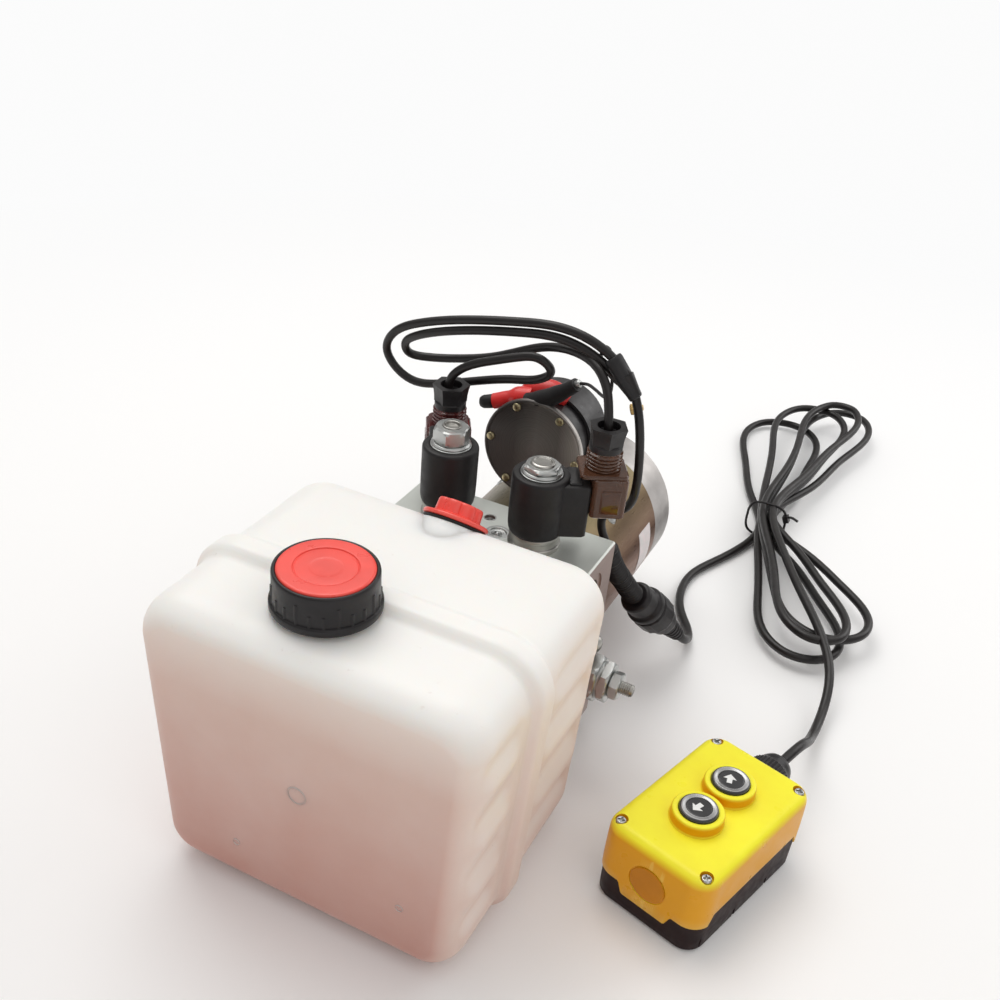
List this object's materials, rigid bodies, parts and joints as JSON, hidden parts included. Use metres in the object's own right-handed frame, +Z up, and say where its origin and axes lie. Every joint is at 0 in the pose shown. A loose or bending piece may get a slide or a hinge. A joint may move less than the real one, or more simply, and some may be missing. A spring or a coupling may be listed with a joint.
{
  "type": "hydraulic power unit",
  "caption": "Compact motor-driven hydraulic power unit with plastic reservoir, valve manifold, motor, contactor and a corded two-button hand control.",
  "frame": {"origin": "middle of the manifold's mounting face, between its two mounting holes; the floor is 11 mm below", "axes": "+Z up, +Y along the motor shaft towards its end cap with the reservoir on -Y, +X towards the relief valve and hand control"},
  "size_m": [0.3159, 0.7609, 0.2573],
  "materials": {
    "tank_plastic": "translucent milky, satin",
    "black_plastic": "moulded satin",
    "red_plastic": "moulded gloss",
    "black_rubber": "satin",
    "cable_pvc": "satin",
    "boot_rubber": "satin",
    "zinc_steel": "zinc plated",
    "bare_steel": "machined",
    "spring_steel": "drawn wire",
    "aluminium_block": "milled",
    "pump_aluminium": "machined",
    "motor_steel": "yellow zinc passivated",
    "cast_aluminium": "cast, brushed",
    "disc_steel": "spun",
    "black_metal": "semi-gloss",
    "copper": "polished",
    "ferrite": "sintered",
    "carbon": "sintered",
    "smoked_plastic": "translucent smoked",
    "yellow_plastic": "moulded gloss",
    "button_plastic": "moulded gloss"
  },
  "bodies": {
    "power_unit": {"tank_shell": "tank_plastic", "tank_screws": "zinc_steel", "suction_tube": "bare_steel", "suction_strainer": "bare_steel", "pump_body": "pump_aluminium", "pump_cover": "pump_aluminium", "pump_bolts": "zinc_steel", "manifold_block": "aluminium_block", "manifold_plugs": "zinc_steel", "relief_body": "zinc_steel", "relief_spring": "spring_steel", "relief_lock_nut": "zinc_steel", "motor_front_plate": "cast_aluminium", "motor_yoke": "motor_steel", "pole_screws": "zinc_steel", "motor_end_cap": "cast_aluminium", "motor_bearings": "bare_steel", "motor_magnets": "ferrite", "motor_brushes": "carbon", "motor_bolts": "zinc_steel", "contactor_can": "black_metal", "contactor_disc": "disc_steel", "contactor_rivets": "zinc_steel", "contactor_saddle": "black_metal", "terminal_boots": "boot_rubber", "solenoid_leads": "cable_pvc", "harness_conduit": "black_plastic", "inline_connector": "black_plastic", "control_cable": "cable_pvc", "control_base": "black_plastic", "control_cover": "yellow_plastic", "control_screws": "zinc_steel", "control_gland": "black_plastic", "raise_valve_body": "bare_steel", "raise_coil": "black_plastic", "raise_coil_nut": "zinc_steel", "raise_plug": "smoked_plastic", "lower_valve_body": "bare_steel", "lower_coil": "black_plastic", "lower_coil_nut": "zinc_steel", "lower_plug": "smoked_plastic", "gland_nuts": "black_plastic", "contact_blocks": "black_plastic"},
    "filler_gasket": {"filler_gasket": "black_rubber"},
    "filler_cap": {"filler_cap": "black_plastic", "filler_cap_disc": "red_plastic"},
    "breather_plug": {"breather_plug": "red_plastic", "breather_seal": "black_rubber"},
    "armature": {"armature": "bare_steel", "commutator": "copper", "drive_gear": "bare_steel"},
    "driven_gear": {"driven_gear": "bare_steel"},
    "raise_plunger": {"raise_valve_plunger": "bare_steel"},
    "lower_plunger": {"lower_valve_plunger": "bare_steel"},
    "relief_poppet": {"relief_poppet": "bare_steel"},
    "relief_adjuster": {"relief_adjuster": "bare_steel"},
    "flow_screw": {"flow_screw": "bare_steel"},
    "contactor_plunger": {"contactor_plunger": "copper"},
    "up_button": {"up_button": "button_plastic"},
    "down_button": {"down_button": "button_plastic"}
  },
  "joints": [
    {"name": "filler_cap_lift", "type": "slide", "parent": "power_unit", "child": "filler_gasket", "axis": [0, 0, 1], "range_m": [0, 0.0061]},
    {"name": "filler_cap_turn", "type": "hinge", "parent": "filler_gasket", "child": "filler_cap", "pos_m": [-0.014, -0.154, 0.186], "axis": [0, 0, 1], "range_deg": [0, 540]},
    {"name": "breather_turn", "type": "hinge", "parent": "power_unit", "child": "breather_plug", "pos_m": [-0.003, -0.047, 0.156], "axis": [0, 0.6428, 0.766], "range_deg": [0, 360]},
    {"name": "motor_spin", "type": "hinge", "parent": "power_unit", "child": "armature", "pos_m": [-0.007, 0.031, 0.0515], "axis": [0, 1, 0], "continuous": true},
    {"name": "driven_gear_spin", "type": "hinge", "parent": "power_unit", "child": "driven_gear", "pos_m": [-0.007, -0.057, 0.0695], "axis": [0, 1, 0], "continuous": true},
    {"name": "raise_valve_stroke", "type": "slide", "parent": "power_unit", "child": "raise_plunger", "axis": [0, 0, 1], "range_m": [0, 0.003]},
    {"name": "lower_valve_stroke", "type": "slide", "parent": "power_unit", "child": "lower_plunger", "axis": [0, 0, 1], "range_m": [0, 0.003]},
    {"name": "relief_lift", "type": "slide", "parent": "power_unit", "child": "relief_poppet", "axis": [1, 0, 0], "range_m": [0, 0.0015]},
    {"name": "relief_adjust", "type": "hinge", "parent": "power_unit", "child": "relief_adjuster", "pos_m": [0.064, 0, 0.052], "axis": [1, 0, 0], "range_deg": [-360, 360]},
    {"name": "flow_adjust", "type": "hinge", "parent": "power_unit", "child": "flow_screw", "pos_m": [0.064, 0, 0.076], "axis": [1, 0, 0], "range_deg": [-360, 360]},
    {"name": "contactor_close", "type": "slide", "parent": "power_unit", "child": "contactor_plunger", "axis": [0, 1, 0], "range_m": [0, 0.003]},
    {"name": "up_button_press", "type": "slide", "parent": "power_unit", "child": "up_button", "axis": [0, 0, -1], "range_m": [0, 0.004]},
    {"name": "down_button_press", "type": "slide", "parent": "power_unit", "child": "down_button", "axis": [0, 0, -1], "range_m": [0, 0.004]}
  ],
  "couplings": [
    {"joint": "driven_gear_spin", "follows": "motor_spin", "ratio": -1},
    {"joint": "filler_cap_lift", "follows": "filler_cap_turn", "m_per_rad": 0.00063662}
  ]
}
